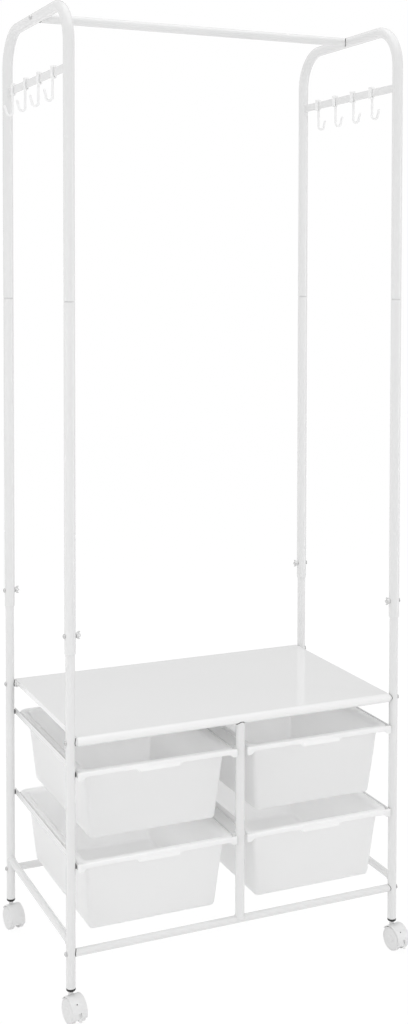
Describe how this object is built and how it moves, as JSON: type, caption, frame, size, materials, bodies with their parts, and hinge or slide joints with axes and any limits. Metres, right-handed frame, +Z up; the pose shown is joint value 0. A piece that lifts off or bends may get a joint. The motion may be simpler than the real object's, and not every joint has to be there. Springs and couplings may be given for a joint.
{
  "type": "rolling clothes rack",
  "caption": "White tubular clothes rack on swivel casters with a hanging rod, side bars of sliding hooks, a flat shelf and pull-out bins below it.",
  "frame": {"origin": "on the floor, at the middle of the rack's bounding box", "axes": "+X to the right as seen from the front, +Y from front to back, +Z up"},
  "size_m": [0.6576, 0.4078, 1.6895],
  "materials": {
    "frame_paint": "white powder coat, semi-gloss",
    "shelf_gloss": "white gloss coat",
    "bin_plastic": "white moulded plastic, fine satin",
    "hook_plastic": "white moulded plastic",
    "caster_plastic": "white moulded plastic",
    "wheel_plastic": "pale grey plastic tread",
    "black_plastic": "black moulded plastic",
    "zinc_steel": "zinc-plated steel"
  },
  "bodies": {
    "frame": {"front_bottom_tee": "frame_paint", "front_left_bottom_bolt": "zinc_steel", "front_left_caster_socket": "black_plastic", "front_left_shelf_bolt": "zinc_steel", "front_left_upright": "frame_paint", "front_left_wing_bolt": "zinc_steel", "front_right_bottom_bolt": "zinc_steel", "front_right_caster_socket": "black_plastic", "front_right_shelf_bolt": "zinc_steel", "front_right_upright": "frame_paint", "front_right_wing_bolt": "zinc_steel", "front_shelf_tube": "frame_paint", "hanging_rod": "frame_paint", "left_rod_bolt": "zinc_steel", "left_side_frame": "frame_paint", "left_top_hoop": "frame_paint", "lower_left_runner": "frame_paint", "lower_middle_runner": "frame_paint", "lower_right_runner": "frame_paint", "rear_bottom_tee": "frame_paint", "rear_left_bottom_bolt": "zinc_steel", "rear_left_caster_socket": "black_plastic", "rear_left_shelf_bolt": "zinc_steel", "rear_left_upright": "frame_paint", "rear_left_wing_bolt": "zinc_steel", "rear_right_bottom_bolt": "zinc_steel", "rear_right_caster_socket": "black_plastic", "rear_right_shelf_bolt": "zinc_steel", "rear_right_upright": "frame_paint", "rear_right_wing_bolt": "zinc_steel", "rear_shelf_tube": "frame_paint", "right_rod_bolt": "zinc_steel", "right_side_frame": "frame_paint", "right_top_hoop": "frame_paint", "shelf_panel": "shelf_gloss", "upper_left_runner": "frame_paint", "upper_middle_runner": "frame_paint", "upper_right_runner": "frame_paint"},
    "left_hook_1": {"left_hook_1": "hook_plastic"},
    "left_hook_2": {"left_hook_2": "hook_plastic"},
    "left_hook_3": {"left_hook_3": "hook_plastic"},
    "left_hook_4": {"left_hook_4": "hook_plastic"},
    "right_hook_1": {"right_hook_1": "hook_plastic"},
    "right_hook_2": {"right_hook_2": "hook_plastic"},
    "right_hook_3": {"right_hook_3": "hook_plastic"},
    "right_hook_4": {"right_hook_4": "hook_plastic"},
    "lower_left_bin": {"lower_left_bin": "bin_plastic"},
    "lower_right_bin": {"lower_right_bin": "bin_plastic"},
    "upper_left_bin": {"upper_left_bin": "bin_plastic"},
    "upper_right_bin": {"upper_right_bin": "bin_plastic"},
    "front_left_caster_hood": {"front_left_caster_hood": "caster_plastic"},
    "front_right_caster_hood": {"front_right_caster_hood": "caster_plastic"},
    "rear_left_caster_hood": {"rear_left_caster_hood": "caster_plastic"},
    "rear_right_caster_hood": {"rear_right_caster_hood": "caster_plastic"},
    "front_left_caster_wheels": {"front_left_caster_wheels": "wheel_plastic"},
    "front_right_caster_wheels": {"front_right_caster_wheels": "wheel_plastic"},
    "rear_left_caster_wheels": {"rear_left_caster_wheels": "wheel_plastic"},
    "rear_right_caster_wheels": {"rear_right_caster_wheels": "wheel_plastic"},
    "front_left_brake_lever": {"front_left_brake_lever": "caster_plastic"},
    "front_right_brake_lever": {"front_right_brake_lever": "caster_plastic"}
  },
  "joints": [
    {"name": "left_hook_1_slide", "type": "slide", "parent": "frame", "child": "left_hook_1", "axis": [0, 1, 0], "range_m": [-0.02, 0.02]},
    {"name": "left_hook_2_slide", "type": "slide", "parent": "frame", "child": "left_hook_2", "axis": [0, 1, 0], "range_m": [-0.02, 0.02]},
    {"name": "left_hook_3_slide", "type": "slide", "parent": "frame", "child": "left_hook_3", "axis": [0, 1, 0], "range_m": [-0.02, 0.02]},
    {"name": "left_hook_4_slide", "type": "slide", "parent": "frame", "child": "left_hook_4", "axis": [0, 1, 0], "range_m": [-0.02, 0.02]},
    {"name": "right_hook_1_slide", "type": "slide", "parent": "frame", "child": "right_hook_1", "axis": [0, 1, 0], "range_m": [-0.02, 0.02]},
    {"name": "right_hook_2_slide", "type": "slide", "parent": "frame", "child": "right_hook_2", "axis": [0, 1, 0], "range_m": [-0.02, 0.02]},
    {"name": "right_hook_3_slide", "type": "slide", "parent": "frame", "child": "right_hook_3", "axis": [0, 1, 0], "range_m": [-0.02, 0.02]},
    {"name": "right_hook_4_slide", "type": "slide", "parent": "frame", "child": "right_hook_4", "axis": [0, 1, 0], "range_m": [-0.02, 0.02]},
    {"name": "lower_left_bin_pull", "type": "slide", "parent": "frame", "child": "lower_left_bin", "axis": [0, -1, 0], "range_m": [0, 0.24]},
    {"name": "lower_right_bin_pull", "type": "slide", "parent": "frame", "child": "lower_right_bin", "axis": [0, -1, 0], "range_m": [0, 0.24]},
    {"name": "upper_left_bin_pull", "type": "slide", "parent": "frame", "child": "upper_left_bin", "axis": [0, -1, 0], "range_m": [0, 0.24]},
    {"name": "upper_right_bin_pull", "type": "slide", "parent": "frame", "child": "upper_right_bin", "axis": [0, -1, 0], "range_m": [0, 0.24]},
    {"name": "front_left_swivel", "type": "hinge", "parent": "frame", "child": "front_left_caster_hood", "pos_m": [-0.31, -0.16648, 0], "axis": [0, 0, 1], "continuous": true},
    {"name": "front_left_roll", "type": "hinge", "parent": "front_left_caster_hood", "child": "front_left_caster_wheels", "pos_m": [-0.30833, -0.17837, 0.02074], "axis": [0.9903, 0.1392, 0], "continuous": true},
    {"name": "front_left_brake", "type": "hinge", "parent": "front_left_caster_hood", "child": "front_left_brake_lever", "pos_m": [-0.3057, -0.19711, 0.0224], "axis": [0.9903, 0.1392, 0], "range_deg": [0, 12]},
    {"name": "front_right_swivel", "type": "hinge", "parent": "frame", "child": "front_right_caster_hood", "pos_m": [0.31, -0.16648, 0], "axis": [0, 0, 1], "continuous": true},
    {"name": "front_right_roll", "type": "hinge", "parent": "front_right_caster_hood", "child": "front_right_caster_wheels", "pos_m": [0.31167, -0.17837, 0.02074], "axis": [0.9903, 0.1392, 0], "continuous": true},
    {"name": "front_right_brake", "type": "hinge", "parent": "front_right_caster_hood", "child": "front_right_brake_lever", "pos_m": [0.3143, -0.19711, 0.0224], "axis": [0.9903, 0.1392, 0], "range_deg": [0, 12]},
    {"name": "rear_left_swivel", "type": "hinge", "parent": "frame", "child": "rear_left_caster_hood", "pos_m": [-0.31, 0.19352, 0], "axis": [0, 0, 1], "continuous": true},
    {"name": "rear_left_roll", "type": "hinge", "parent": "rear_left_caster_hood", "child": "rear_left_caster_wheels", "pos_m": [-0.30833, 0.18163, 0.02074], "axis": [0.9903, 0.1392, 0], "continuous": true},
    {"name": "rear_right_swivel", "type": "hinge", "parent": "frame", "child": "rear_right_caster_hood", "pos_m": [0.31, 0.19352, 0], "axis": [0, 0, 1], "continuous": true},
    {"name": "rear_right_roll", "type": "hinge", "parent": "rear_right_caster_hood", "child": "rear_right_caster_wheels", "pos_m": [0.31167, 0.18163, 0.02074], "axis": [0.9903, 0.1392, 0], "continuous": true}
  ]
}
